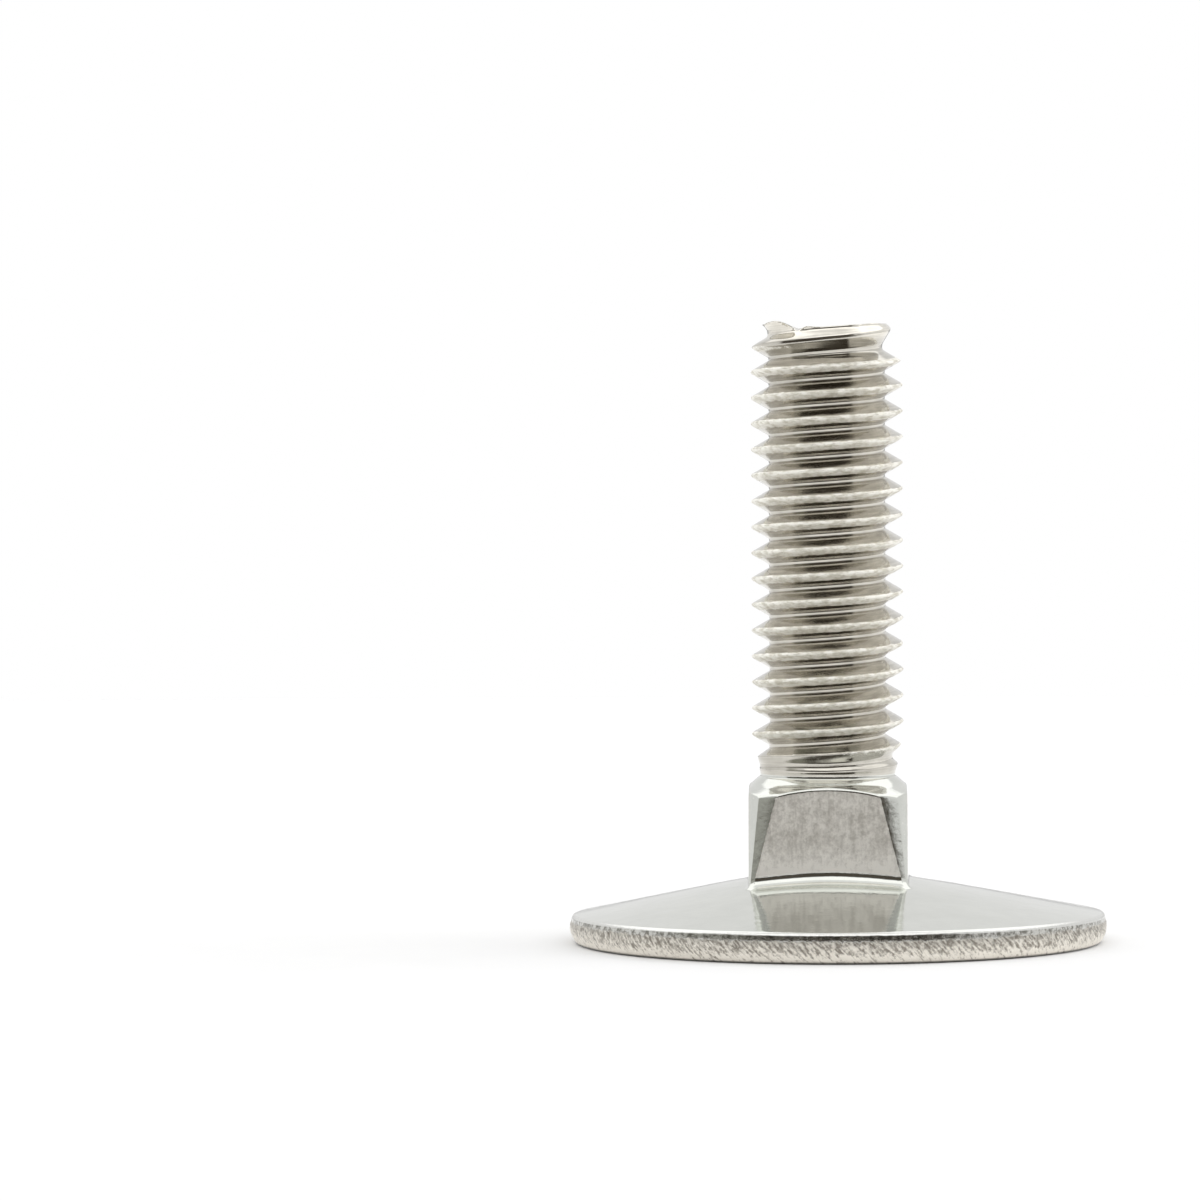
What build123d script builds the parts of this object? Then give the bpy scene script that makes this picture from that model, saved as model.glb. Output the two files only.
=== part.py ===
"""Elevator bolt: a wide flat head with a cone-shaped back, a forged square neck and a rolled thread.

It is one piece of steel. Millimetres. The origin is the centre of the neck and shank in the plane
of the flat head face, +Z runs up the shank to the sheared end, and X and Y are square to the flats
of the neck.
"""
import os
from math import ceil, cos, floor, pi, radians, sin, tan

from build123d import *

# whole bolt
OVERALL_HEIGHT = 38.0  # from the flat head face to the sheared end
END_TILT = 1.2  # degrees, how far the sheared end leans toward -X

# head
HEAD_DIAMETER = 33.0
RIM_HEIGHT = 1.85  # height of the rim's upper corner above the flat face
EDGE_BREAK = 0.4  # worn corner between the rim and the flat face
CONE_ANGLE = 11.9  # degrees, rise of the back of the head toward the neck
HEAD_OFFSET = 0.6  # the forged head sits this far toward +X from the shank's axis

# square neck: each corner is two facets that meet in a crease
NECK_ACROSS_FLATS = 9.7
NECK_TOP = 9.84  # height where the bevel meets the middle of each flat
FLAT_WIDTH_AT_HEAD = 8.86
FLAT_WIDTH_AT_THREAD = 5.9
CREASE_DROP = 0.64  # how far the crease lies inside the full square corner, at the neck's top
BEVEL_ANGLE = 25.3  # degrees from level, over the top of the neck
COLLAR_WIDTH = 0.35  # steeper collar between the bevel and the blank
COLLAR_ANGLE = 50.0  # degrees from level

# thread, rolled on a blank thinner than its crests
THREAD_MAJOR = 9.35
THREAD_PITCH = 1.5875  # 16 threads to the inch
THREAD_DEPTH = 1.1
BLANK_DIAMETER = 8.4
LAST_ROOT_HEIGHT = 12.05  # where the lowest full-depth root passes the -X side
ROOT_FADE = 1.2  # turns over which the root climbs to the blank below that
CREST_FADE = 0.8  # turns over which the crest sinks to the blank
POINT_DIAMETER = 7.8  # at the sheared end
POINT_HEIGHT = 1.5  # length of the sunken crests at the end

half_square = NECK_ACROSS_FLATS / 2
blank_radius = BLANK_DIAMETER / 2
major_radius = THREAD_MAJOR / 2
root_radius = major_radius - THREAD_DEPTH
rim_radius = HEAD_DIAMETER / 2
cone_rise = tan(radians(CONE_ANGLE))
neck_foot = RIM_HEIGHT + (rim_radius - half_square) * cone_rise
bevel_rise = tan(radians(BEVEL_ANGLE))


def turned(outline):
    """A solid of revolution about Z from (radius, height) corners."""
    return revolve(Plane.XZ * make_face(Polyline(*outline, close=True)), axis=Axis.Z)


def head():
    """The wide head: flat face down, low rim, shallow cone up to the neck."""
    peak_radius = 0.8 * half_square
    peak = RIM_HEIGHT + (rim_radius - peak_radius) * cone_rise
    outline = [
        (0, 0),
        (rim_radius - EDGE_BREAK, 0),
        (rim_radius, EDGE_BREAK),
        (rim_radius, RIM_HEIGHT),
        (peak_radius, peak),
        (0, peak),
    ]
    return Pos(HEAD_OFFSET, 0, 0) * turned(outline)


def corner_waste():
    """What one facet takes off the square's corner: all beyond a plane through three points."""
    crease = half_square - CREASE_DROP
    foot = Vector(half_square, FLAT_WIDTH_AT_HEAD / 2, neck_foot)
    top = Vector(half_square, FLAT_WIDTH_AT_THREAD / 2, NECK_TOP)
    outward = (foot - top).cross(Vector(crease, crease, NECK_TOP) - top)
    facet = Plane(origin=foot, x_dir=top - foot, z_dir=outward)
    size = 4 * half_square
    return facet * Box(size, size, half_square, align=(Align.CENTER, Align.CENTER, Align.MIN))


def neck():
    """The square neck from inside the head to the collar that the thread blank grows out of."""
    low = (RIM_HEIGHT + neck_foot) / 2
    collar_radius = blank_radius + COLLAR_WIDTH
    collar = NECK_TOP + (half_square - collar_radius) * bevel_rise
    inner_radius = 0.8 * blank_radius
    top = collar + (collar_radius - inner_radius) * tan(radians(COLLAR_ANGLE))
    outer = 1.5 * half_square
    outline = [
        (0, low),
        (outer, low),
        (outer, NECK_TOP - (outer - half_square) * bevel_rise),
        (collar_radius, collar),
        (inner_radius, top),
        (0, top),
    ]
    across = NECK_ACROSS_FLATS
    square = Pos(0, 0, low) * Box(across, across, top, align=(Align.CENTER, Align.CENTER, Align.MIN))
    facet = corner_waste()
    for quarter in range(4):
        square -= Rot(0, 0, 90 * quarter) * facet
        square -= Rot(0, 0, 90 * quarter) * mirror(facet, about=Plane.XZ)
    return turned(outline) & square


def ease(turn, length):
    """0 in the full thread, rising smoothly to 1 over so many turns below its last full root."""
    share = min(1.0, max(0.0, -turn / length))
    return (1 - cos(pi * share)) / 2


def on_root(turn):
    """Point on the thread's root, so many turns up from the last full one on the -X side."""
    radius = root_radius + (blank_radius - root_radius) * ease(turn, ROOT_FADE)
    angle = pi + 2 * pi * turn
    return Vector(radius * cos(angle), radius * sin(angle), LAST_ROOT_HEIGHT + THREAD_PITCH * turn)


def on_crest(turn):
    """Point on the crest half a pitch above the root."""
    radius = major_radius + (blank_radius - major_radius) * ease(turn, CREST_FADE)
    angle = pi + 2 * pi * turn
    height = LAST_ROOT_HEIGHT + THREAD_PITCH * (turn + 0.5)
    return Vector(radius * cos(angle), radius * sin(angle), height)


def on_axis(turn):
    """Point on the axis, level with the root."""
    return Vector(0, 0, LAST_ROOT_HEIGHT + THREAD_PITCH * turn)


def strip(lower, upper, start, rise=0):
    """Half a turn of the ruled surface between two of the thread's lines."""
    shares = [start + i / 10 for i in range(6)]
    below = Edge.make_spline([lower(t) for t in shares])
    above = Edge.make_spline([upper(t + rise) for t in shares])
    return Face.make_surface_from_curves(below, above)


def ramp(start):
    """Half a turn of the spiral floor that closes the rod inside."""
    shares = [start + i / 10 for i in range(6)]
    outer = Edge.make_spline([on_root(t) for t in shares])
    return Face.make_surface_from_curves(Edge.make_line(on_axis(start), on_axis(start + 0.5)), outer)


def threaded_rod():
    """The blank and its thread as one skin of helical strips, from inside the neck past the end."""
    first = floor(2 * (neck_foot - LAST_ROOT_HEIGHT) / THREAD_PITCH) / 2
    last = ceil(2 * (OVERALL_HEIGHT + THREAD_PITCH - LAST_ROOT_HEIGHT) / THREAD_PITCH) / 2
    starts = [first + i / 2 for i in range(int(2 * (last - first)))]
    faces = []
    for start in starts:
        faces.append(strip(on_root, on_crest, start))
        faces.append(strip(on_crest, on_root, start, rise=1))
    for end in (first, last):
        faces += [ramp(end), ramp(end + 0.5)]
        side = [on_axis(end), on_root(end), on_crest(end), on_root(end + 1), on_axis(end + 1)]
        side.append(on_axis(end + 0.5))
        faces.append(Face(Wire.make_polygon(side, close=True)))
    return Solid(Shell(faces))


def end_waste():
    """What is lost at the thread's end: the sunken crests, then all past the sheared face."""
    clear = 1.3 * major_radius
    past = OVERALL_HEIGHT + 3 * THREAD_PITCH
    crests = [
        (clear, OVERALL_HEIGHT - POINT_HEIGHT),
        (major_radius, OVERALL_HEIGHT - POINT_HEIGHT),
        (POINT_DIAMETER / 2, OVERALL_HEIGHT),
        (POINT_DIAMETER / 2, past),
        (clear, past),
    ]
    offcut = Box(4 * clear, 4 * clear, past, align=(Align.CENTER, Align.CENTER, Align.MIN))
    return turned(crests) + Pos(0, 0, OVERALL_HEIGHT) * Rot(0, -END_TILT, 0) * offcut


rod = Part(threaded_rod().wrapped) - end_waste()
print("threaded rod, cut to length:", round(rod.volume, 1), "mm3")
bolt = head() + (neck() + rod)
print("elevator bolt:", len(bolt.solids()), "solid,", round(bolt.volume, 1), "mm3,", bolt.bounding_box())
os.makedirs("parts", exist_ok=True)
export_step(bolt, "parts/elevator_bolt.step")
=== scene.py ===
# %% [markdown]
# # An elevator bolt, from skin to light
# An elevator bolt holds buckets on a conveyor belt. It has a wide flat head that spreads the pull,
# a square neck that keeps it from turning, and a rolled thread. The CAD model gives its true sizes.
# This notebook builds the finished skin of the same bolt, with the worn edges, forging marks and
# steel finishes that a CAD solid leaves out, and lights it like a small thing in a white tent.

import math

import bpy
import numpy as np
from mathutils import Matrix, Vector, noise


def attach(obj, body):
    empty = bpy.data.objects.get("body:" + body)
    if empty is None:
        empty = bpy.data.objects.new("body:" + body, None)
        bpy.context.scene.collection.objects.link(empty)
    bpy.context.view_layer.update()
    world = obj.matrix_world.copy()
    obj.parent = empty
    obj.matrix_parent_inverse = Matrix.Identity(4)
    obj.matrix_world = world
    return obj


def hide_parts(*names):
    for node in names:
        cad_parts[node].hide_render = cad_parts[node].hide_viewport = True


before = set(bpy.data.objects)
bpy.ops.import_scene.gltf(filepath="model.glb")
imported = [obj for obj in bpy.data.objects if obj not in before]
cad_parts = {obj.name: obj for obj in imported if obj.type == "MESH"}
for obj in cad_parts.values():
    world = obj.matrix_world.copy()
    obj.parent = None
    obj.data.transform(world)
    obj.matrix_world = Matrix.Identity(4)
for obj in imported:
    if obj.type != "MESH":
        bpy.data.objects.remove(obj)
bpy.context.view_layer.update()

# %% [markdown]
# ## The camera
# A small part looks true when it is seen from far away through a long lens, because nearness makes
# its head swell. The camera stands 41 cm off, a little below the bolt's upper end, so the threads
# are seen level and the wide head from just above. It is turned aside, so the bolt stands right of
# the middle of the frame.


# %% Put up the camera
def put_up_camera():
    lens = bpy.data.cameras.new("bench_camera")
    lens.sensor_width = 36.0
    lens.lens = 199.5
    lens.clip_start, lens.clip_end = 0.01, 10.0
    camera = bpy.data.objects.new("bench_camera", lens)
    camera.location = (0.0, -0.409, 0.0355)
    camera.rotation_euler = [math.radians(a) for a in (90 - 2.016, 0.25, 1.95)]
    bpy.context.scene.collection.objects.link(camera)
    bpy.context.scene.camera = camera
    return camera


camera = put_up_camera()
print("camera at", [round(v * 1000) for v in camera.location], "mm")

# %% [markdown]
# ## The main sizes
# Everything below is worked out in millimetres, and is turned into metres once, when the mesh is
# made. These sizes follow the CAD source. The cone and the rim lie a tenth or two lower than there,
# because the skin also has the roundings and the wear that the solid leaves out.

# %% Name the main sizes
RIM_RADIUS = 16.5
RIM_HEIGHT = 1.74    # where cone and barrel would meet, at the sides
CONE_TOP = 4.03      # where the cone would meet the neck's flats
HEAD_OFFSET = 0.6    # from the shank's axis to the head's
HALF_SQUARE = 4.85
NECK_TOP = 9.73
MAJOR_RADIUS = 4.675
PITCH = 1.5875
print("thread:", round(25.4 / PITCH, 1), "turns to the inch")

# %% [markdown]
# ## One skin, ring by ring
# A bolt is one piece of steel, so it gets one closed skin. It grows like a pot on a wheel: a ring
# of points, then the next ring, and a band of faces between them. The rings start in the middle of
# the flat face, go out to the rim, back in over the cone, up the neck and the shank, and close on
# the sheared end. Each face remembers which finish it belongs to.

# %% A ring and a band of faces
points, roughened, faces, looks = [], [], [], []
LOOKS = ["flat_face", "sheared_rim", "die_smooth", "neck_wall", "rolled_thread", "sheared_end"]


def ring(x, y, z, rough=0.0):
    """Adds a ring of points. Rough says how dull or torn the skin is at each, from 0 to 1."""
    start = len(points)
    points.extend(zip(*(np.broadcast_to(v, np.shape(x)).tolist() for v in (x, y, z))))
    roughened.extend(np.broadcast_to(rough, np.shape(x)).tolist())
    return list(range(start, len(points)))


def skin(corners, look):
    faces.append(corners)
    looks.append(LOOKS.index(look))


def band(before, after, look):
    """Faces between two rings. One ring may have twice as many points as the other."""
    count = max(len(before), len(after))
    a, b = count // len(before), count // len(after)
    step = max(a, b)
    for i in range(0, count, step):
        first = [before[(i + k) // a % len(before)] for k in range(0, step + 1, a)]
        second = [after[(i + k) // b % len(after)] for k in range(0, step + 1, b)]
        skin(first + second[::-1], look)


def grow(before, rings, look):
    """A band to each of the next rings in turn. Gives back the last ring."""
    for after in rings:
        band(before, after, look)
        before = after
    return before


print("finishes:", LOOKS)

# %% [markdown]
# ## Three ways to shape a surface
# Three helpers shape what follows: an S-shaped rise, which fades one thing into the next without a
# kink, a table of pairs with straight lines between them, and noise with lumps of a chosen size.


# %% Rise, table and grain
def smooth(value, low, high):
    """0 below low, 1 above high, and an S-shaped rise between them."""
    share = np.clip((np.asarray(value, float) - low) / (high - low), 0, 1)
    return share * share * (3 - 2 * share)


def follow(value, table):
    """Reads values off a table of pairs, with straight lines between them."""
    return np.interp(value, *zip(*table))


def grain(x, y, z, size):
    """Smooth noise from -1 to 1 with lumps of about that size, the same on each run."""
    at = np.broadcast_arrays(x, y, z)
    flat = zip(*(np.ravel(v / size).tolist() for v in at))
    return np.reshape([noise.noise(Vector(p)) for p in flat], np.shape(at[0]))


print("grain at one place:", grain(1.0, 2.0, 3.0, 0.7).round(3))

# %% [markdown]
# ## The flat face
# The face that lies on the belt is flat, so a few rings are enough. Near the rim the columns double
# twice, until there are the 576 that the rim needs.

# %% Build the flat face
SHANK_COLUMNS, RIM_COLUMNS = 144, 576


def around(count):
    """Angles of so many columns, counterclockwise from the back."""
    return np.radians(90 + 360 * np.arange(count) / count)


def head_ring(radius, z, count):
    angle = around(count)
    return ring(HEAD_OFFSET + radius * np.cos(angle), radius * np.sin(angle), z)


def build_flat_face():
    rings = [head_ring(r, 0.0, SHANK_COLUMNS) for r in (2.5, 6, 10, 14)]
    rings += [head_ring(15.3, 0.0, 288), head_ring(15.75, 0.0, RIM_COLUMNS)]
    skin(rings[0][::-1], "flat_face")
    return grow(rings[0], rings[1:], "flat_face")


edge_of_face = build_flat_face()
print("flat face:", len(points), "points")

# %% [markdown]
# ## The rim
# The rim was sheared from plate: its upper corner is rolled over, a thin burnished band follows,
# and the rest broke away rough, in slanting tears. Small lumps push its many columns in and out.
# The head is a little thicker at the front, because it was upset a touch out of line.

# %% Build the rim
CORNER = 0.45          # radius of the worn lower corner
BREAK_TOP = 1.3        # height where the broken part ends and the burnished band starts
RIM_WEAR = 0.012
LIP = 0.285            # radius of the rolled-over upper corner
LIP_CENTRE = 16.135
LIP_DROP = 0.22        # from the height where cone and barrel would meet


def rim_lumps(z):
    """How far the broken part of the rim stands out from the smooth barrel, column by column."""
    angle = around(RIM_COLUMNS)
    x, y = RIM_RADIUS * np.cos(angle), RIM_RADIUS * np.sin(angle)
    arc = RIM_RADIUS * angle
    slant = grain(0.55 * arc + z, 40 + 1.9 * (z - 0.5 * arc), 3.0, 0.34)
    slant_back = grain(0.55 * arc - z, 90 + 1.9 * (z + 0.5 * arc), 9.0, 0.38)
    coarse = grain(x, y, z, 0.75)
    broken = smooth(z, 0.1, 0.5) * (1 - smooth(z, BREAK_TOP, 1.45))
    return broken * (0.06 * slant + 0.025 * slant_back + 0.03 * coarse) - RIM_WEAR


def rim_height(angle):
    """Where cone and barrel would meet, around the head."""
    return RIM_HEIGHT + 0.038 * np.cos(angle) - 0.139 * np.sin(angle)


def build_rim(before):
    corner = [(RIM_RADIUS - 0.62 + CORNER * math.sin(a), CORNER - CORNER * math.cos(a))
              for a in np.radians([0, 12, 25, 40, 55, 68])]
    barrel = [(RIM_RADIUS - 0.4 * (z - 1.0) ** 2, z) for z in np.linspace(0.42, BREAK_TOP, 10)]
    angle = around(RIM_COLUMNS)
    level = rim_height(angle) - LIP_DROP
    ragged = 0.05 * grain(RIM_RADIUS * angle, 5.0, 2.0, 0.3)

    def burnished_ring(radius, share):
        z = BREAK_TOP + share * (level - BREAK_TOP)
        return head_ring(radius + rim_lumps(z), z + share * ragged, RIM_COLUMNS)

    def lip_ring(turn):
        radius, z = LIP_CENTRE + LIP * math.cos(turn), level + LIP * math.sin(turn)
        z = z + ragged * (1 - smooth(turn, 0.2, 0.9))
        return head_ring(radius - RIM_WEAR, z, RIM_COLUMNS)

    broken = (head_ring(r + rim_lumps(z), z, RIM_COLUMNS) for r, z in corner + barrel)
    burnished = (burnished_ring(*row) for row in ((16.455, 0.3), (16.44, 0.6), (16.428, 0.85)))
    lip = (lip_ring(turn) for turn in np.radians([2, 14, 26, 38, 50, 62, 72]))
    for rings in (broken, burnished, lip):
        before = grow(before, rings, "sheared_rim")
    return before


edge_of_rim = build_rim(edge_of_face)
print("with the rim:", len(points), "points")

# %% [markdown]
# ## The cone
# The back of the head is a shallow cone that the forging die left smooth. Its centre is the head's
# own, which sits 0.6 mm off the shank's axis. A cone is straight from the rim to the neck, so few
# rings are needed, but it sinks by a hair beside the neck, where the die pressed hardest.

# %% Build the cone
CONE_LEAN = 0.079
CONE_DIP = 0.05
CONE_RINGS = ((16.13, 576), (15.95, 576), (15.5, 288), (14.8, 288), (14.0, 144), (12.6, 144),
              (11.2, 144), (10.0, 144), (9.0, 144), (8.3, 144))


def cone_height(x, y):
    aside = np.asarray(x) - HEAD_OFFSET
    out = np.hypot(aside, y)
    top = CONE_TOP - CONE_LEAN * aside / out
    share = (out - HALF_SQUARE) / (RIM_RADIUS - HALF_SQUARE)
    dip = CONE_DIP * smooth(-out, -8.0, -5.2)
    return top + share * (rim_height(np.arctan2(y, aside)) - top) - dip


def cone_ring(radius, count):
    x = HEAD_OFFSET + radius * np.cos(around(count))
    y = radius * np.sin(around(count))
    return ring(x, y, cone_height(x, y))


edge_of_cone = grow(edge_of_rim, (cone_ring(*row) for row in CONE_RINGS), "die_smooth")
print("with the cone:", len(points), "points")

# %% [markdown]
# ## The square neck
# The neck is a square whose corners the die pressed back in two facets that meet in a crease. The
# flats narrow from the head to the thread. A plain grid would cut across those slanting edges and
# leave them jagged, so each column of points follows them instead: it keeps its share of the way
# across a flat or a facet at every height. The columns crowd beside each edge, so that smooth
# shading turns the corner within a few hundredths of a millimetre. The facets bulge a little, since
# the steel was never quite pressed flat there.

# %% Follow the neck's outline
ON_FLAT = np.array([0, .1, .2, .3, .4, .5, .6, .7, .79, .87, .925, .965, 1.0])
ON_FACET = np.array([0, .09, .25, .5, .75, .92, 1.0])
FLAT_COLUMNS = 12                          # from a flat's middle to its edge
FLAT_FOOT = 4.25
HALF_FLAT = [(FLAT_FOOT - 2, 4.85), (FLAT_FOOT, 4.43), (NECK_TOP, 2.95)]
FACET_ALONG, FACET_BACK = 1.26, 0.64       # a facet's run beside the flat, and behind it
FACET_BULGE = 0.15
COLUMN = np.arange(SHANK_COLUMNS)
QUARTER = (COLUMN + 18) // 36              # the flat that each column belongs to
LOCAL = COLUMN - 36 * QUARTER              # and its place from that flat's middle


def neck_outline(z):
    """x, y of the 144 columns at that height, which may differ from column to column."""
    half_flat = follow(np.broadcast_to(z, (SHANK_COLUMNS,)).astype(float), HALF_FLAT)
    k = np.abs(LOCAL)
    across = half_flat * ON_FLAT[np.minimum(k, FLAT_COLUMNS)]
    share = ON_FACET[np.maximum(k - FLAT_COLUMNS, 0)]
    wide = (HALF_SQUARE - half_flat) / (FACET_ALONG + FACET_BACK)
    bulge = FACET_BULGE * share * (1 - share) * wide
    along = across + (FACET_ALONG * share + 0.45 * bulge) * wide
    out = HALF_SQUARE - (FACET_BACK * share - 0.89 * bulge) * wide
    turn = np.radians(90 + 90 * QUARTER)
    side = np.sign(LOCAL) * along
    return out * np.cos(turn) - side * np.sin(turn), out * np.sin(turn) + side * np.cos(turn)


print("across flats", 2 * HALF_SQUARE, "mm, flats", 2 * HALF_FLAT[2][1], "mm wide at the top")

# %% [markdown]
# ## Where the neck meets its neighbours
# The neck's foot stands on the cone, and a bevel like a very flat hip roof meets each flat in an
# arch. Where a column of the neck meets such a surface isn't known beforehand, because the column
# leans. Stepping there finds it: take the surface's height at the column's place, take the column's
# place at that height, and again.

# %% Find the neck's foot and arches
BEVEL_RISE = math.tan(math.radians(23.0))


def settle(height_of):
    """The height where each column of the neck meets a surface, found by stepping to it."""
    z = np.full(SHANK_COLUMNS, 6.0)
    for _ in range(30):
        z = height_of(*neck_outline(z))
    return z


neck_foot = settle(cone_height)
neck_arch = settle(lambda x, y: NECK_TOP - (np.hypot(x, y) - HALF_SQUARE) * BEVEL_RISE)
print("neck meets the cone at", neck_foot.min().round(2), "to", neck_foot.max().round(2), "mm")
print("neck meets the bevel at", neck_arch.min().round(2), "to", neck_arch.max().round(2), "mm")

# %% [markdown]
# ## The fillet at the neck's foot
# Steel can't be forged into a perfectly sharp inside corner. The die has a radius there, more than
# half a millimetre on the front and back and tighter on the sides, and it runs out a little further
# on the cone than up the wall. Each column gets a curve from a point on the cone to a point on the
# wall, pulled toward the corner between them.

# %% Build the fillet
FRONT_FILLET, RIGHT_FILLET, LEFT_FILLET = 0.65, 0.42, 0.25


def curve(share, start, corner, end):
    """A place on the smooth curve from start to end that is pulled toward the corner."""
    return (1 - share) ** 2 * start + 2 * share * (1 - share) * corner + share * share * end


def curved_ring(share, lines, rough=0.0):
    """A ring at that share of a curve. Lines has start, corner and end of x, of y and of z."""
    return ring(*(curve(share, *line) for line in lines), rough)


def fillet_length(angle):
    sideways = np.cos(angle) ** 2
    return ((1 - sideways) * FRONT_FILLET
            + sideways * np.where(np.cos(angle) > 0, RIGHT_FILLET, LEFT_FILLET))


def fillet_direction():
    """Square to the flat along its middle, and swinging to the diagonal at the corners."""
    swing = 45 * smooth(np.abs(LOCAL), 9, 18) * np.sign(LOCAL)
    return np.radians(90 + 90 * QUARTER + swing)


def build_fillet(before):
    toward = fillet_direction()
    length = fillet_length(toward)
    corner_x, corner_y = neck_outline(neck_foot)
    out_x = corner_x + 1.15 * length * np.cos(toward)
    out_y = corner_y + 1.15 * length * np.sin(toward)
    circle = around(SHANK_COLUMNS)
    last_radius = CONE_RINGS[-1][0]
    start_x, start_y = HEAD_OFFSET + last_radius * np.cos(circle), last_radius * np.sin(circle)

    def squarer_ring(share):
        x, y = start_x + share * (out_x - start_x), start_y + share * (out_y - start_y)
        return ring(x, y, cone_height(x, y))

    wall_z = neck_foot + length
    wall_x, wall_y = neck_outline(wall_z)
    lines = ((out_x, corner_x, wall_x), (out_y, corner_y, wall_y),
             (cone_height(out_x, out_y), neck_foot, wall_z))
    onward = (squarer_ring(share) for share in (.3, .6, .85, .96))
    upward = (curved_ring(share, lines)
              for share in (0, .06, .15, .27, .4, .53, .66, .78, .88, .95, 1.0))
    return grow(grow(before, onward, "die_smooth"), upward, "die_smooth"), wall_z


top_of_fillet, wall_foot = build_fillet(edge_of_cone)
print("fillet", fillet_length(fillet_direction()).round(2).min(), "to",
      fillet_length(fillet_direction()).round(2).max(), "mm long")

# %% [markdown]
# ## The neck's walls
# The walls run from the fillet up to the bevel's arches. The flats carry a dull scale and the
# facets don't, so the rings remember which columns lie inside a flat. Rows stand close together at
# the top and the bottom, where the walls turn into something else.

# %% Build the walls
SHOULDER = 0.19        # the rounding over each flat's upper edge takes this much of the wall


def build_walls(before):
    on_flats = np.where(np.abs(LOCAL) <= FLAT_COLUMNS, 1.0, 0.0)
    top = neck_arch - SHOULDER
    heights = (wall_foot + share * (top - wall_foot) for share in
               (.012, .035, .09, .18, .28, .39, .5, .61, .72, .82, .91, .965, 1.0))
    rings = (ring(*neck_outline(z), z, on_flats) for z in heights)
    return grow(before, rings, "neck_wall"), top


top_of_wall, wall_top = build_walls(top_of_fillet)
print("with the walls:", len(points), "points")

# %% [markdown]
# ## The bevel and the collar
# A small rounding leads over each flat's upper edge to the bevel. The bevel rises gently, and
# sweeps up beside the shank into a steeper collar, which ends in the plain blank. Two rows close
# together at each change of direction keep the edges crisp but not razor sharp.

# %% Build the bevel and the collar
BEVEL_SWEEP = 0.9
COLLAR_RADIUS = 4.52
COLLAR_TOP = 10.42
COLLAR = ((4.46, 10.022), (4.4, 10.075), (4.34, 10.127), (4.29, 10.168), (4.245, 10.2),
          (4.208, 10.222), (4.182, 10.242), (4.168, 10.262), (4.162, 10.285), (4.158, 10.32),
          (4.155, 10.36), (4.153, COLLAR_TOP))


def bevel_height(x, y):
    """A shallow bevel that sweeps up beside the shank."""
    out = np.hypot(x, y)
    sweep = BEVEL_SWEEP * np.maximum(HALF_SQUARE - out, 0) ** 2
    return NECK_TOP - (out - HALF_SQUARE) * BEVEL_RISE + sweep


def build_bevel_and_collar(before):
    angle = around(SHANK_COLUMNS)
    wall_x, wall_y = neck_outline(wall_top)
    arch_x, arch_y = neck_outline(neck_arch)
    foot_x, foot_y = COLLAR_RADIUS * np.cos(angle), COLLAR_RADIUS * np.sin(angle)
    rounded = 0.9 * SHOULDER / np.hypot(foot_x - arch_x, foot_y - arch_y)
    in_x, in_y = arch_x + rounded * (foot_x - arch_x), arch_y + rounded * (foot_y - arch_y)

    def bevel_ring(share):
        x, y = in_x + share * (foot_x - in_x), in_y + share * (foot_y - in_y)
        return ring(x, y, bevel_height(x, y))

    lines = ((wall_x, arch_x, in_x), (wall_y, arch_y, in_y),
             (wall_top, neck_arch, bevel_height(in_x, in_y)))
    over = (curved_ring(share, lines) for share in (.12, .25, .38, .5, .62, .75, .88, 1.0))
    inward = (bevel_ring(share) for share in (.06, .2, .4, .6, .8, .94, 1.0))
    upward = (ring(r * np.cos(angle), r * np.sin(angle), z) for r, z in COLLAR)
    before = grow(before, over, "neck_wall")
    return grow(grow(before, inward, "die_smooth"), upward, "die_smooth")


foot_of_shank = build_bevel_and_collar(top_of_wall)
print("with the neck:", len(points), "points")

# %% [markdown]
# ## One groove of the thread
# A rolled thread isn't cut: two dies press its grooves into a blank. The groove is a V of 60
# degrees with a narrow land at its bottom. Turns are counted from the left side of the bolt, upward
# from the lowest full root. Below turn 0, beside the neck, the dies run out: the groove gets
# shallow, wide and soft. At the other end it fades too, so its sizes are tables by turn.

# %% Shape one groove
BLANK_RADIUS = 4.2
ROOT_RADIUS = 3.555
ROOT_ROUND = 0.07
LAND = 0.11
LAST_ROOT = 12.05      # height of the root at turn 0
FLANK = 1.732          # slope of a flank, 60 degrees

ROOT_LIFT = [(-1.2, 0.5), (-1.0, 0.42), (-0.87, 0.36), (-0.75, 0.2), (-0.6, 0.2), (-0.5, 0.22),
             (-0.25, 0.1), (0.0, 0.0)]
SHALLOW = [(-1.15, 1.0), (-1.0, 0.98), (-0.87, 0.95), (-0.75, 0.9), (-0.6, 0.76), (-0.5, 0.66),
           (-0.25, 0.34), (0.0, 0.06), (0.2, 0.0)]
LAST_TURN = [(15.1, 0.0), (15.5, -0.15), (15.75, -0.05), (16.0, 0.06)]
LOWER_SLOPE = [(-0.75, 1.5), (-0.5, 1.1), (0.0, 1.4), (0.45, FLANK)]
UPPER_SLOPE = [(-1.2, 0.4), (-0.75, 0.45), (-0.5, 1.0), (0.0, FLANK), (15.0, FLANK),
               (15.25, 0.95), (15.5, 0.58)]
ROUNDING = [(-0.6, 0.3), (0.0, ROOT_ROUND), (15.1, ROOT_ROUND), (15.5, 0.3)]
LAND_TILT = [(-0.5, 0.0), (0.0, 0.2)]


def root_lift(turn):
    """Beside the neck the groove runs a little higher than the thread's own rise."""
    return follow(turn, ROOT_LIFT)


def root_radius(turn):
    return (ROOT_RADIUS + (BLANK_RADIUS - ROOT_RADIUS) * follow(turn, SHALLOW)
            + follow(turn, LAST_TURN))


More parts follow.
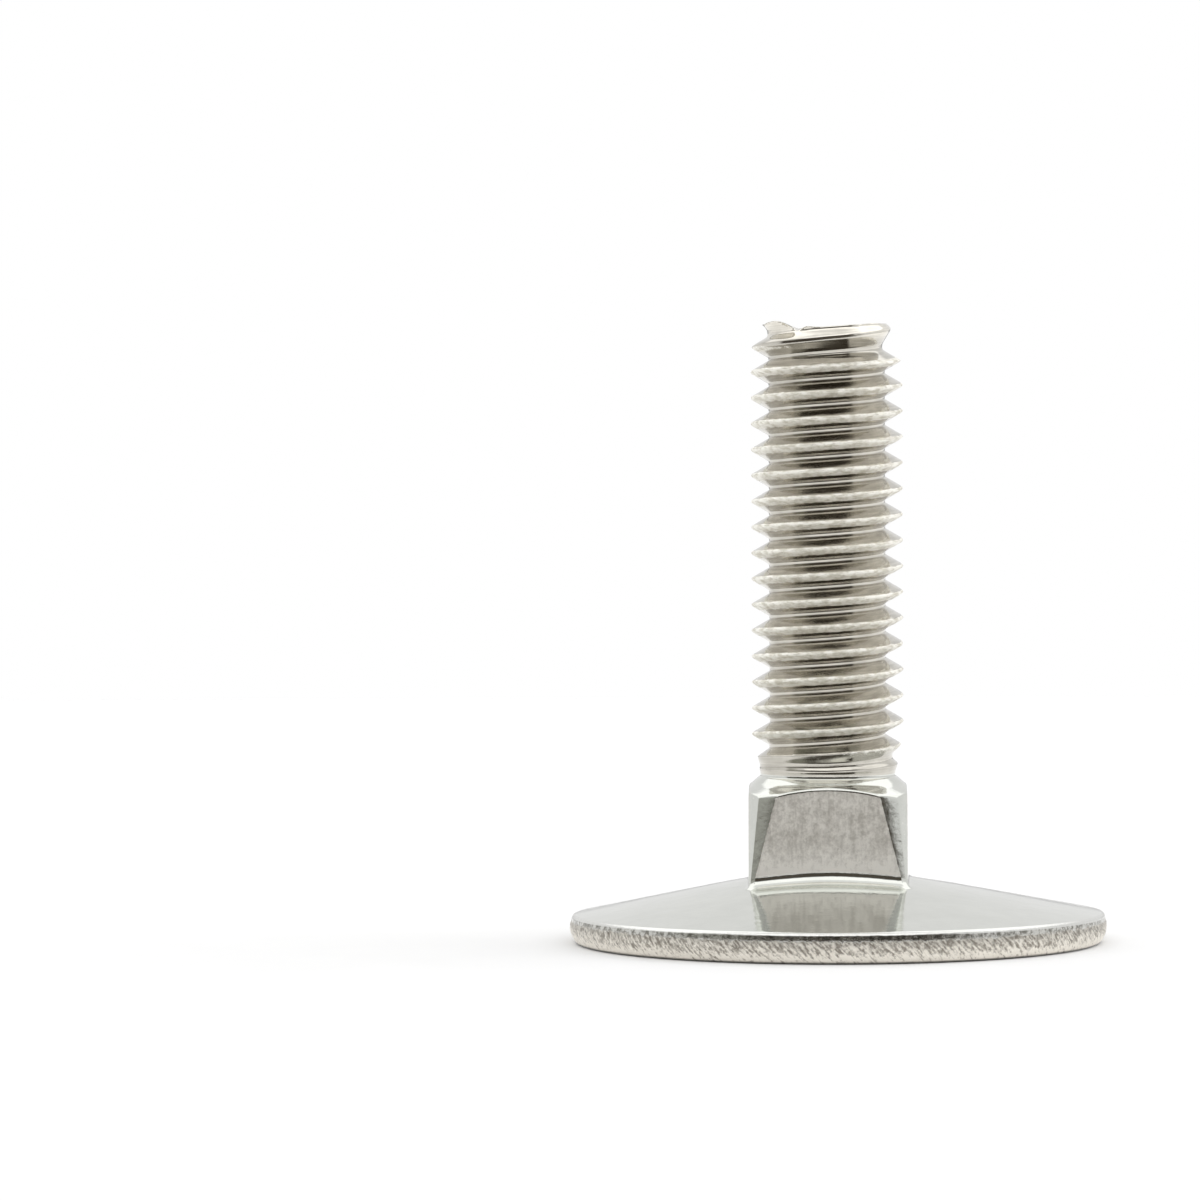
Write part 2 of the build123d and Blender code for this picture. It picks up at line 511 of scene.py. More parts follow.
def groove(turn, z):
    """Radius of one groove at that height: land, rounding, then a straight flank."""
    above = z - (LAST_ROOT + PITCH * turn + root_lift(turn)) + LAND / 2
    land = np.clip(above, 0, LAND)
    slope = np.where(above > 0, follow(turn, UPPER_SLOPE), follow(turn, LOWER_SLOPE))
    steep = np.arctan(slope)
    rounding = follow(turn, ROUNDING)
    round_part = rounding * np.sin(steep)
    away = np.abs(above - land)
    bottom = rounding - np.sqrt(np.maximum(rounding ** 2 - away ** 2, 0))
    flank = rounding * (1 - np.cos(steep)) + slope * (away - round_part)
    land_rise = follow(turn, LAND_TILT) * land
    return root_radius(turn) + land_rise + np.where(away < round_part, bottom, flank)


print("root radius at turns -1, 0 and 5:", root_radius(np.array([-1, 0, 5])).round(3), "mm")

# %% [markdown]
# ## The whole thread
# The steel that the dies push aside rises between the grooves as crests. Beside the neck the crests
# sink to the blank's own size, and the sheared end is a short cone. So the radius at any angle and
# height is the lowest of three things: the grooves nearby, the crests' own level, and the end's
# cone, with the corners between them rounded off.

# %% Work out the thread's radius
BLANK = [(COLLAR_TOP, 4.153), (10.48, 4.158), (10.56, 4.18), (10.7, 4.229), (10.88, 4.282),
         (10.96, 4.29), (11.1, 4.29), (11.3, 4.31), (11.6, 4.38), (12.2, 4.51)]
END_CONE = [(36.2, 4.7), (36.45, 4.66), (36.7, 4.56), (37.0, 4.29), (37.2, 4.16), (37.45, 4.04),
            (37.65, 3.97), (37.85, 3.9), (38.0, 3.84), (38.2, 3.78)]
CREST_ROUNDING = [(11.2, 0.05), (11.8, 0.16), (36.6, 0.16), (37.0, 0.12)]
LAST_CREST = 36.4      # the last crest turns into a narrow upright land above this height
LAST_LAND = [(0.0, 4.9), (0.02, 4.6), (0.13, 4.31), (0.25, 4.14), (0.356, 4.03), (0.44, 3.98),
             (0.5, 4.6), (1.0, 4.9)]


def turn_of(angle):
    """Turns around the shank, counted from its left side."""
    return (angle - math.pi) / (2 * math.pi)


def soft_lower(a, b, size):
    """The lower of two values, with the corner between them rounded off."""
    near = np.maximum(size - np.abs(a - b), 0) / size
    return np.minimum(a, b) - near * near * size / 4


def crest_level(z):
    """How far the crests, the plain blank and the end's cone reach out at that height."""
    blank = follow(z, BLANK)
    level = blank + (MAJOR_RADIUS - blank) * smooth(z, 11.5, 12.9)
    return soft_lower(level, follow(z, END_CONE), 0.05)


def thread_radius(angle, z):
    turn = turn_of(angle)
    nearest = np.floor((z - LAST_ROOT) / PITCH - turn)
    radius = crest_level(z) + 0 * angle
    rounding = follow(z, CREST_ROUNDING)
    for step in (-1, 0, 1, 2):
        radius = soft_lower(radius, groove(turn + nearest + step, z), rounding)
    last_land = soft_lower(radius, follow(turn % 1, LAST_LAND), 0.03)
    return np.where(z > LAST_CREST, last_land, radius)


print("radius on a root and a crest:", thread_radius(math.pi, LAST_ROOT + 10 * PITCH).round(3),
      thread_radius(math.pi, LAST_ROOT + 10.5 * PITCH).round(3), "mm")

# %% [markdown]
# ## The edge of the sheared end
# The bar was cropped, not sawn, and it was threaded afterwards. The crop left the end a few degrees
# out of level, with a burr standing up on one side and a small torn notch beside it. The table
# gives, in degrees left of the front, how far the edge stands above the sloping plane.

# %% Work out the edge of the end
END_RADIUS = 3.9
BURR_AND_NOTCH = [(-180, 0), (-130, 0), (-90, -.08), (-50, 0), (5, 0), (14, .06), (20, .1),
                  (24, .04), (27, -.12), (29.5, -.2), (32, -.06), (36, .2), (42, .38), (48, .5),
                  (54, .56), (62, .5), (72, .41), (82, .37), (90, .38), (105, .3), (128, 0),
                  (180, 0)]


def end_plane(x):
    return 37.84 + 0.06 * x


def end_edge(angle):
    """Height of the end's edge: the sloping plane, plus the burr, less the notch."""
    left_of_front = (270 - np.degrees(angle) + 180) % 360 - 180
    x, y = END_RADIUS * np.cos(angle), END_RADIUS * np.sin(angle)
    ragged = 0.03 * grain(x, y, 0.0, 0.6)
    return end_plane(x) + follow(left_of_front, BURR_AND_NOTCH) + ragged


print("the end's edge:", end_edge(around(144)).min().round(2), "to",
      end_edge(around(144)).max().round(2), "mm")

# %% [markdown]
# ## One column of the thread
# Level rows would cut the slanting crests into stairs, so here the rows climb with the thread, one
# pitch for each turn. Rows crowd at the roots and crests, where the shape turns. Each point of a
# column gets a key that counts its row, and the crests' points are marked as torn, because the
# steel from both sides met there and never quite closed. The finish also uses this mark for a
# painted highlight on the crests.

# %% Place one column
ROWS = np.array([0, .035, .07, .105, .15, .26, .38, .49, .57, .62, .665, .705, .74, .768])
ROWS = np.concatenate([ROWS, [PITCH / 2], PITCH - ROWS[:0:-1]])
CLEAR = 0.03           # the climbing rows stop this far short of the level ones


def worn(angle, z, radius):
    """Small flaws of the rolling: crests filled unevenly and the odd nick."""
    crest = smooth(radius, 4.35, 4.66)
    x, y = radius * np.cos(angle), radius * np.sin(angle)
    uneven = 0.016 * grain(x, y, z * 1.4, 0.9) + 0.010 * grain(x, y + 20, z * 1.2, 0.35)
    nick = -0.07 * smooth(grain(x, y - 30, z, 0.7), 0.52, 0.75)
    flank = 0.004 * grain(x, y, z * 3, 1.3)
    return radius + crest * (uneven + nick) + flank


def torn_share(over_crest, z):
    """How torn the skin is, by the height over the nearest crest and over the floor."""
    beside = smooth(over_crest, -0.42, -0.3) * (1 - smooth(over_crest, 0.06, 0.16))
    return beside * smooth(z, 11.4, 12.4) * (1 - smooth(z, LAST_CREST, 36.8))


def column_rows(angle):
    """One column's points between the level rows: height, radius and torn share by key."""
    low, high = COLLAR_TOP + CLEAR, end_edge(angle) - CLEAR
    whole = np.arange(-3, 19)
    turn = turn_of(angle) + whole
    roots = LAST_ROOT + PITCH * turn + root_lift(turn)
    z = (roots[:-1, None] + ROWS / PITCH * np.diff(roots)[:, None]).ravel()
    keys = (whole[:-1, None] * len(ROWS) + np.arange(len(ROWS))).ravel()
    radius = worn(angle, z, thread_radius(np.full_like(z, angle), z))
    torn = torn_share(np.tile(ROWS - PITCH / 2, len(whole) - 1), z)
    kept = (z > low) & (z < high)
    values = zip(z[kept].tolist(), radius[kept].tolist(), torn[kept].tolist())
    return dict(zip(keys[kept].tolist(), values))


print("rows in one pitch:", len(ROWS))

# %% [markdown]
# ## The threaded shank
# After a whole turn, a row meets the row one pitch above it, and the skin closes like a spiral
# staircase. Only the first and last rows are level, so the columns are trimmed there, and a face
# with more corners zips each pair of columns to them. The last row leans out where the burr stands.


# %% Build the threaded shank
def zip_columns(here, there, below, above):
    """Faces between two columns, and down and up to two points each of the level rows."""
    low, high = max(min(here), min(there)), min(max(here), max(there))
    for key in range(low, high):
        skin([here[key], there[key], there[key + 1], here[key + 1]], "rolled_thread")
    start = [there[k] for k in range(min(there), low + 1)]
    start += [here[k] for k in range(low, min(here) - 1, -1)]
    skin([*below, *start], "rolled_thread")
    stop = [there[k] for k in range(high, max(there) + 1)]
    stop += above[::-1]
    stop += [here[k] for k in range(max(here), high - 1, -1)]
    skin(stop, "rolled_thread")


def build_shank(before):
    angles = around(SHANK_COLUMNS)
    columns = []
    for angle in angles:
        rows = column_rows(angle)
        z, r, torn = np.array(list(rows.values())).T
        columns.append(dict(zip(rows, ring(r * math.cos(angle), r * math.sin(angle), z, torn))))
    top_z = end_edge(angles)
    lean = 0.5 * np.maximum(top_z - end_plane(END_RADIUS * np.cos(angles)) - 0.1, 0)
    top_r = thread_radius(angles, top_z) + lean
    after = ring(top_r * np.cos(angles), top_r * np.sin(angles), top_z)
    for c in range(SHANK_COLUMNS):
        n = (c + 1) % SHANK_COLUMNS
        shift = len(ROWS) if n == 0 else 0
        there = {key - shift: point for key, point in columns[n].items()}
        zip_columns(columns[c], there, [before[c], before[n]], [after[c], after[n]])
    return after, top_r, top_z


top_of_shank, edge_radius, edge_height = build_shank(foot_of_shank)
print("with the shank:", len(points), "points")

# %% [markdown]
# ## Close the end
# The last rings step in from the edge and settle on the sloping plane, a little uneven, as steel is
# where it tears.


# %% Build the sheared end
def end_ring(share):
    """A ring at that share of the edge's radius."""
    angle = around(SHANK_COLUMNS)
    r = edge_radius * share
    x, y = r * np.cos(angle), r * np.sin(angle)
    plane = end_plane(x) + 0.03 * grain(x, y * 0.4, 0.0, 0.7)
    settled = smooth(-share, -0.985, -0.84)
    rounded = 0.012 * smooth(-share, -1.0, -0.975)
    return ring(x, y, edge_height + (plane - edge_height) * settled + rounded * (1 - settled))


inner_rings = (end_ring(share) for share in (.992, .975, .94, .88, .78, .62, .42, .2))
skin(grow(top_of_shank, inner_rings, "sheared_end"), "sheared_end")
print("the whole skin:", len(points), "points,", len(faces), "faces")

# %% [markdown]
# ## Make the mesh
# The lists become one Blender mesh, in metres. All faces are shaded smooth, since the edges already
# have rows beside them. The mesh stands for the CAD solid, which stays in the model for contact.


# %% Make the bolt
def make_bolt():
    mesh = bpy.data.meshes.new("elevator_bolt_skin")
    mesh.from_pydata([(x / 1000, y / 1000, z / 1000) for x, y, z in points], [], faces)
    mesh.polygons.foreach_set("material_index", looks)
    mesh.polygons.foreach_set("use_smooth", [True] * len(faces))
    mesh.validate()
    mesh.update()
    rough = mesh.attributes.new("roughened", "FLOAT", "POINT")
    rough.data.foreach_set("value", roughened)
    bolt = bpy.data.objects.new("elevator_bolt_skin", mesh)
    bpy.context.scene.collection.objects.link(bolt)
    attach(bolt, "root")
    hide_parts("elevator_bolt")
    return bolt


bolt = make_bolt()
triangles = sum(len(p.vertices) - 2 for p in bolt.data.polygons)
print("bolt:", triangles, "triangles")

# %% [markdown]
# ## Building a finish from nodes
# Blender describes a finish as a small graph of nodes. These helpers add a node in one line, and
# let a graph be read like a sum.


# %% Add a node, and calculate with nodes
def add(tree, kind, settings=None, values=(), **inputs):
    """Adds a node. A socket given as a value is linked, and anything else is set."""
    made = tree.nodes.new(kind)
    for name, value in (settings or {}).items():
        setattr(made, name, value)
    named = [(made.inputs[name.replace("_", " ")], value) for name, value in inputs.items()]
    for socket, value in list(zip(made.inputs, values)) + named:
        if isinstance(value, bpy.types.NodeSocket):
            tree.links.new(value, socket)
        elif value is not None:
            socket.default_value = value
    return made


def maths(tree, operation, *values):
    return add(tree, "ShaderNodeMath", {"operation": operation}, values).outputs[0]


def plus(tree, a, b):
    return maths(tree, "ADD", a, b)


def minus(tree, a, b):
    return maths(tree, "SUBTRACT", a, b)


def times(tree, a, b):
    return maths(tree, "MULTIPLY", a, b)


def times_plus(tree, a, b, c):
    return maths(tree, "MULTIPLY_ADD", a, b, c)


def spread(tree, value, low, high, to_low, to_high):
    """Maps low..high of a value to to_low..to_high, with an S-shaped rise or fall."""
    return add(tree, "ShaderNodeMapRange", {"interpolation_type": "SMOOTHSTEP"},
               (value, low, high, to_low, to_high)).outputs[0]


print("node maths ready")

# %% [markdown]
# ## Where, how much, and what it does
# Every finish starts from a place and ends in a colour, a roughness and a bump. Noise lies between
# them. Stretching a place before it goes into the noise turns round specks into long scuffs.


# %% Place, noise, colour and bump
def scaled(tree, vector, share):
    """A place or a colour with all its parts multiplied by one number."""
    return add(tree, "ShaderNodeVectorMath", {"operation": "SCALE"}, Vector=vector,
               Scale=share).outputs[0]


def place_in_mm(tree):
    """The point's place on the bolt, in millimetres."""
    return scaled(tree, add(tree, "ShaderNodeTexCoord").outputs["Object"], 1000.0)


def stretched(tree, vector, x, y, z):
    """The same place with its axes stretched: a large number makes the noise fine that way."""
    return add(tree, "ShaderNodeVectorMath", {"operation": "MULTIPLY"},
               (vector, (x, y, z))).outputs[0]


def axes(tree, vector):
    """The x, the y and the z of a place."""
    parts = add(tree, "ShaderNodeSeparateXYZ", values=(vector,))
    return [parts.outputs[name] for name in "XYZ"]


def joined(tree, x, y, z):
    return add(tree, "ShaderNodeCombineXYZ", values=(x, y, z)).outputs[0]


def noise_of(tree, vector, scale=1.0, detail=3.0, rough=0.55):
    return add(tree, "ShaderNodeTexNoise", Vector=vector, Scale=scale, Detail=detail,
               Roughness=rough).outputs["Fac"]


def marked(tree):
    """How dull or torn the skin's points say it is here, from 0 to 1."""
    return add(tree, "ShaderNodeAttribute", {"attribute_name": "roughened"}).outputs["Fac"]


def tint(tree, value, dark, light):
    """A colour between two, by a value from 0 to 1."""
    ramp = add(tree, "ShaderNodeValToRGB", values=(value,))
    ramp.color_ramp.elements[0].color = (*dark, 1)
    ramp.color_ramp.elements[1].color = (*light, 1)
    return ramp.outputs["Color"]


def blended(tree, share, first, second):
    """One colour turning into another by a share from 0 to 1."""
    made = add(tree, "ShaderNodeMix", {"data_type": "RGBA"})
    for socket, value in ((made.inputs["Factor"], share), (made.inputs[6], first),
                          (made.inputs[7], second)):
        tree.links.new(value, socket)
    return made.outputs[2]


def bumped(tree, height, distance_mm, before=None):
    made = add(tree, "ShaderNodeBump", Height=height, Distance=distance_mm / 1000, Strength=1.0)
    if before is not None:
        tree.links.new(before, made.inputs["Normal"])
    return made.outputs[0]


def steel(name, paint):
    """A steel finish: paint(tree) gives its colour, roughness and normal."""
    made = bpy.data.materials.new(name)
    made.use_nodes = True
    tree = made.node_tree
    tree.nodes.clear()
    colour, roughness, normal = paint(tree)
    shader = add(tree, "ShaderNodeBsdfPrincipled", Metallic=1.0, Base_Color=colour,
                 Roughness=roughness, Normal=normal)
    out = add(tree, "ShaderNodeOutputMaterial")
    tree.links.new(shader.outputs[0], out.inputs["Surface"])
    return made


print("finish helpers ready")

# %% [markdown]
# ## Die-smooth steel
# The cone, the fillet, the facets and the bevel were pressed against a polished die. They are
# nearly mirrors. Their brightness wanders softly, and a very shallow unevenness makes reflections
# waver.

# %% Die-smooth steel
SMOOTH_STEEL = ((0.64, 0.65, 0.61), (0.76, 0.77, 0.725))


def paint_die_smooth(tree):
    at = place_in_mm(tree)
    cloud = noise_of(tree, at, 0.5, 4)
    fine = noise_of(tree, at, 5.0, 5)
    colour = tint(tree, cloud, *SMOOTH_STEEL)
    roughness = spread(tree, fine, 0.3, 0.7, 0.05, 0.11)
    waver = bumped(tree, noise_of(tree, at, 0.7, 2), 0.02)
    normal = bumped(tree, fine, 0.003, waver)
    return colour, roughness, normal


die_smooth = steel("die_smooth_steel", paint_die_smooth)
print("made", die_smooth.name)

# %% [markdown]
# ## The neck's walls
# The flats carry the dull scale of forging. Near the head they are painted paler, a painted
# reflection of the white floor. They scatter light widely, with short upright scuffs and pale and
# dark specks. The facets beside them are die-smooth again. The skin's points say how much scale is
# left on each, and noise makes the scale's border ragged.

# %% Scaled neck walls
SCALE_COLOURS = ((0.53, 0.504, 0.456), (0.97, 0.945, 0.89))


def paint_neck_wall(tree):
    at = place_in_mm(tree)
    speck = noise_of(tree, at, 4.0, 6, 0.7)
    scuff = noise_of(tree, stretched(tree, at, 4.0, 4.0, 0.8), 1.0, 5, 0.6)
    cloud = noise_of(tree, at, 0.9, 3)
    height = axes(tree, at)[2]
    # painted reflection: the flats are painted paler toward the head, where they mirror the white
    # floor
    floor_reflection_paler = spread(tree, times_plus(tree, cloud, 2.0, height), 5.2, 7.6, 0.78, 0)
    ragged = times_plus(tree, minus(tree, speck, 0.5), 1.2, marked(tree))
    scale = spread(tree, ragged, 0.1, 0.4, 0, 1)
    mottle = times_plus(tree, scuff, 0.3, times(tree, speck, 0.5))
    mottle = times_plus(tree, cloud, 0.2, mottle)
    pale = plus(tree, floor_reflection_paler, spread(tree, mottle, 0.36, 0.64, 0, 0.8))
    colour = blended(tree, scale, tint(tree, cloud, *SMOOTH_STEEL),
                     tint(tree, pale, *SCALE_COLOURS))
    fine = spread(tree, speck, 0.3, 0.7, 0.1, 0.18)
    roughness = times_plus(tree, scale, 0.33, fine)
    deep = times(tree, minus(tree, mottle, 0.5), scale)
    return colour, roughness, bumped(tree, deep, 0.012, bumped(tree, cloud, 0.02))


neck_wall = steel("scaled_neck_wall", paint_neck_wall)
print("made", neck_wall.name)

# %% [markdown]
# ## Rolled thread
# The dies leave fine lines along the thread. To make noise run along a helix, take the point's
# phase in the thread: its height less one pitch for each turn around the axis. The sine and cosine
# of that phase come back to the same values after every turn, so the lines have no seam. The height
# is the third axis, and changes so slowly along the helix that the lines become long streaks. The
# crests stay a little torn: duller and lumpy, with a ragged border, and painted paler as a painted
# highlight. The last land by the sheared end is painted paler still, another painted highlight.

# %% Rolled thread
ROLLED_COLOURS = ((0.505, 0.482, 0.43), (0.66, 0.634, 0.572))
# pale cream crest colours: a painted highlight on the torn crests
TORN_CREST_HIGHLIGHT_COLOURS = ((0.72, 0.69, 0.61), (1.0, 0.985, 0.93))


def along_the_thread(tree, lines):
    x, y, z = axes(tree, place_in_mm(tree))
    phase = minus(tree, times(tree, z, 2 * math.pi / PITCH), maths(tree, "ARCTAN2", y, x))
    across = [times(tree, maths(tree, wave, phase), lines) for wave in ("COSINE", "SINE")]
    return joined(tree, *across, times(tree, z, 5.0))


def paint_rolled_thread(tree):
    at = place_in_mm(tree)
    streak = noise_of(tree, along_the_thread(tree, 2.0), 1.0, 3)
    cloud = noise_of(tree, at, 0.8, 3)
    mixed = times_plus(tree, streak, 0.6, times(tree, cloud, 0.4))
    rolled = tint(tree, spread(tree, mixed, 0.35, 0.65, 0, 1), *ROLLED_COLOURS)
    torn = noise_of(tree, stretched(tree, at, 1.8, 1.8, 4.5), 1.0, 5, 0.6)
    ragged = times_plus(tree, minus(tree, torn, 0.5), 1.5, marked(tree))
    crest = spread(tree, ragged, 0.25, 0.7, 0, 1)
    # painted highlight: the torn crests are painted pale cream; their roughness and lumps are the
    # real tears
    torn_crest_highlight_colour = tint(tree, spread(tree, torn, 0.34, 0.62, 0, 1), *TORN_CREST_HIGHLIGHT_COLOURS)
    # painted highlight: the last land by the sheared end is painted paler
    painted_end_highlight = spread(tree, axes(tree, at)[2], 36.9, 37.4, 1, 1.35)
    colour = scaled(tree, blended(tree, crest, rolled, torn_crest_highlight_colour), painted_end_highlight)
    smooth_part = spread(tree, streak, 0.3, 0.7, 0.07, 0.13)
    roughness = times_plus(tree, crest, 0.5, smooth_part)
    lumps = times(tree, minus(tree, torn, 0.5), crest)
    return colour, roughness, bumped(tree, lumps, 0.022, bumped(tree, streak, 0.0006))


rolled_thread = steel("rolled_thread_steel", paint_rolled_thread)
print("made", rolled_thread.name)

# %% [markdown]
# ## Sheared rim
# Under the rolled-over lip, the shear burnished a narrow band, and its dark colour is painted shade
# under the lip. Below a ragged border the steel broke, and it is rough, slightly warm in colour and
# full of slanting tears. The border is the height plus noise. The tears are noise that is fine
# across them and coarse along them, on the rim unrolled: one axis falls with the tears, and the
# other rises along them.

# %% Sheared rim
BROKEN_COLOURS = ((0.36, 0.33, 0.285), (1.0, 0.955, 0.87))
# the dark band's colours are painted shade under the rolled-over lip
UNDER_LIP_SHADE_COLOURS = ((0.22, 0.215, 0.19), (0.66, 0.655, 0.62))
LIP_COLOURS = ((0.7, 0.7, 0.675), (0.8, 0.8, 0.77))


def slanting_tears(tree, arc, height):
    across = times(tree, plus(tree, arc, height), 4.5)
    along = times(tree, minus(tree, height, arc), 1.1)
    return noise_of(tree, joined(tree, across, along, 0.0), 1.0, 3, 0.5)


def broken_colour(tree, mixed, height):
    """Pale and dark by the tears, a little paler below, and shaded at the rim's two edges."""
    paler_below = spread(tree, height, 0.25, 0.85, 0.1, 0)
    pale = spread(tree, plus(tree, mixed, paler_below), 0.4, 0.6, 0, 1)
    shade = times(tree, spread(tree, height, 0.05, 0.2, 0.25, 1),
                  spread(tree, height, 0.8, 1.35, 1, 0.75))
    return scaled(tree, tint(tree, pale, *BROKEN_COLOURS), shade)


def shiny_colour(tree, ragged, y, height):
    """The burnished band, given a dark colour as painted shade under the lip, and the pale lip
    above it, which is higher at the front.
    """
    lip = spread(tree, times_plus(tree, y, 0.0084, height), 1.56, 1.6, 0, 1)
    # painted shade: the band under the lip gets a dark, mottled colour
    under_lip_shade_colour = tint(tree, spread(tree, ragged, 0.38, 0.6, 0, 1), *UNDER_LIP_SHADE_COLOURS)
    return blended(tree, lip, under_lip_shade_colour, tint(tree, ragged, *LIP_COLOURS))


def paint_rim(tree):
    at = place_in_mm(tree)
    x, y, height = axes(tree, at)
    arc = times(tree, maths(tree, "ARCTAN2", y, minus(tree, x, HEAD_OFFSET)), RIM_RADIUS)
    ragged = noise_of(tree, at, 3.0, 4, 0.65)
    # mask of the lip and the band under it; the band's dark colour is painted shade
    burnished = spread(tree, times_plus(tree, ragged, 0.5, height), 1.56, 1.72, 0, 1)
    speck = noise_of(tree, at, 5.0, 4, 0.6)
    mixed = times_plus(tree, slanting_tears(tree, arc, height), 0.6, times(tree, speck, 0.4))
    colour = blended(tree, burnished, broken_colour(tree, mixed, height),
                     shiny_colour(tree, ragged, y, height))
    roughness = spread(tree, burnished, 0, 1, 0.32, 0.2)
    torn_here = times(tree, minus(tree, 1.0, burnished), spread(tree, height, 0.3, 0.8, 0.3, 1))
    deep = times(tree, minus(tree, mixed, 0.5), torn_here)
    worn_band = bumped(tree, times(tree, ragged, burnished), 0.02)
    return colour, roughness, bumped(tree, deep, 0.25, worn_band)


sheared_rim = steel("sheared_rim_steel", paint_rim)
print("made", sheared_rim.name)

# %% [markdown]
# ## The flat face and the sheared end
# The flat face took the die's fine turning rings. The sheared end shows the drag of the crop: short
# parallel lines straight across it.


# %% Flat face and sheared end
def paint_flat_face(tree):
    at = place_in_mm(tree)
    moved = add(tree, "ShaderNodeVectorMath", {"operation": "SUBTRACT"},
                (at, (HEAD_OFFSET, 0, 0))).outputs[0]
    out = add(tree, "ShaderNodeVectorMath", {"operation": "LENGTH"}, (moved,)).outputs["Value"]
    turned = noise_of(tree, joined(tree, out, 0.0, 0.0), 5.0, 3)
    cloud = noise_of(tree, at, 0.4, 5)
    colour = tint(tree, cloud, (0.58, 0.575, 0.55), (0.74, 0.735, 0.71))
    roughness = spread(tree, cloud, 0.3, 0.7, 0.3, 0.42)
    return colour, roughness, bumped(tree, turned, 0.008)


def paint_sheared_end(tree):
    at = place_in_mm(tree)
    drag = noise_of(tree, stretched(tree, at, 0.5, 5.0, 0.5), 1.0, 5, 0.6)
    colour = tint(tree, drag, (0.5, 0.49, 0.465), (0.78, 0.77, 0.74))
    roughness = spread(tree, drag, 0.3, 0.7, 0.28, 0.42)
    return colour, roughness, bumped(tree, drag, 0.05)


flat_face = steel("flat_face_steel", paint_flat_face)
sheared_end = steel("sheared_end_steel", paint_sheared_end)
print("made", flat_face.name, "and", sheared_end.name)

# %% [markdown]
# ## Put the finishes on
# Each face remembers its finish as a number, so the finishes go onto the mesh in the same order as
# their names stand in the list at the start.

# %% Put the finishes on
for finish in (flat_face, sheared_rim, die_smooth, neck_wall, rolled_thread, sheared_end):
    bolt.data.materials.append(finish)
print("finishes on the bolt:", [m.name for m in bolt.data.materials])

# %% [markdown]
# ## The floor
# The floor is plain and pale. It keeps the soft shadow where the head touches it. A part of its
# brightness is given straight to the camera and to reflections, so the floor reads as white paper
# and not as grey card.

# %% Lay the floor
PAPER_GLOW = 0.075


def lay_floor():
    mesh = bpy.data.meshes.new("floor")
    mesh.from_pydata([(-3, -0.2, 0), (3, -0.2, 0), (3, 0.3, 0), (-3, 0.3, 0)], [], [(0, 1, 2, 3)])
    floor = bpy.data.objects.new("floor", mesh)
    bpy.context.scene.collection.objects.link(floor)
    paper = bpy.data.materials.new("white_paper")
    paper.use_nodes = True
    tree = paper.node_tree
    tree.nodes.clear()
    fibre = noise_of(tree, place_in_mm(tree), 0.2, 2)
    matt = add(tree, "ShaderNodeBsdfDiffuse",
               Color=tint(tree, fibre, (0.8, 0.8, 0.8), (0.82, 0.82, 0.82)))
    ray = add(tree, "ShaderNodeLightPath")
    seen = maths(tree, "MAXIMUM", ray.outputs["Is Camera Ray"],
                 maths(tree, "MAXIMUM", ray.outputs["Is Glossy Ray"],
                       ray.outputs["Is Transmission Ray"]))
    glow = add(tree, "ShaderNodeEmission", Strength=times(tree, seen, PAPER_GLOW))
    both = add(tree, "ShaderNodeAddShader", values=(matt.outputs[0], glow.outputs[0]))
    out = add(tree, "ShaderNodeOutputMaterial")
    tree.links.new(both.outputs[0], out.inputs["Surface"])
    mesh.materials.append(paper)
    return floor


floor = lay_floor()
print("floor laid:", [round(v, 2) for v in floor.dimensions], "m")

# %% [markdown]
# ## The light tent's opening
# Bright steel shows what stands around it. A white tent with one dark opening, where the camera
# looks in, gives it pale sides and dark middles. The world does this. A direction has a heading, 0
# toward the camera and growing to the right, in radians, and a height, the z of its arrow, from 0
# level to 1 straight up. The opening's left edge is hard. Its right edge moves with the height.


# %% The dark opening
def dark_opening(tree, heading, z):
    """1 inside the opening, where the room behind the camera shows, and 0 on the cloth."""
    left_edge = spread(tree, heading, -1.38, -1.22, 0, 1)
    soft = minus(tree, spread(tree, z, 0.0, 0.1, 0.16, 0), spread(tree, z, 0.1, 0.13, 0, 0.12))
    wider = times(tree, spread(tree, z, 0.0, 0.04, 0, 0.6), spread(tree, z, 0.095, 0.125, 1, 0))
    fading = spread(tree, z, 0.1, 0.13, 0.82, 0.74)
    gone = spread(tree, z, 0.1, 0.13, 1.18, 1.1)
    right_edge = spread(tree, heading, minus(tree, fading, soft),
                        plus(tree, plus(tree, gone, soft), wider), 1, 0)
    low_down = spread(tree, z, 0.42, 0.56, 1, 0)
    return times(tree, times(tree, left_edge, right_edge), low_down)


def room_colour(tree, heading, z):
    """The room is dark and warm, and greyer at the left, above the bench."""
    left = times(tree, spread(tree, heading, -1.0, -0.5, 1, 0),
                 spread(tree, z, 0.085, 0.12, 0, 1))
    return tint(tree, left, (0.085, 0.075, 0.062), (0.42, 0.42, 0.39))


print("opening and room ready")

# %% [markdown]
# ## The cloth and its grey cards
# The cloth is brightest above, where the lamps shine on it, and dimmer straight overhead, so that
# steel seen from above doesn't turn plain white. Low down at the back it is half as bright. Two
# grey cards hang beside the opening, so that the neck's mirror image in the cone is dark over its
# whole width.

# %% White cloth and grey cards
BEHIND_SHARE, CARD_SHARE = -0.5, -0.65     # how much light each takes away


def between(tree, value, low, full, fading, gone):
    """1 from full to fading, and 0 below low and above gone."""
    return times(tree, spread(tree, value, low, full, 0, 1),
                 spread(tree, value, fading, gone, 1, 0))


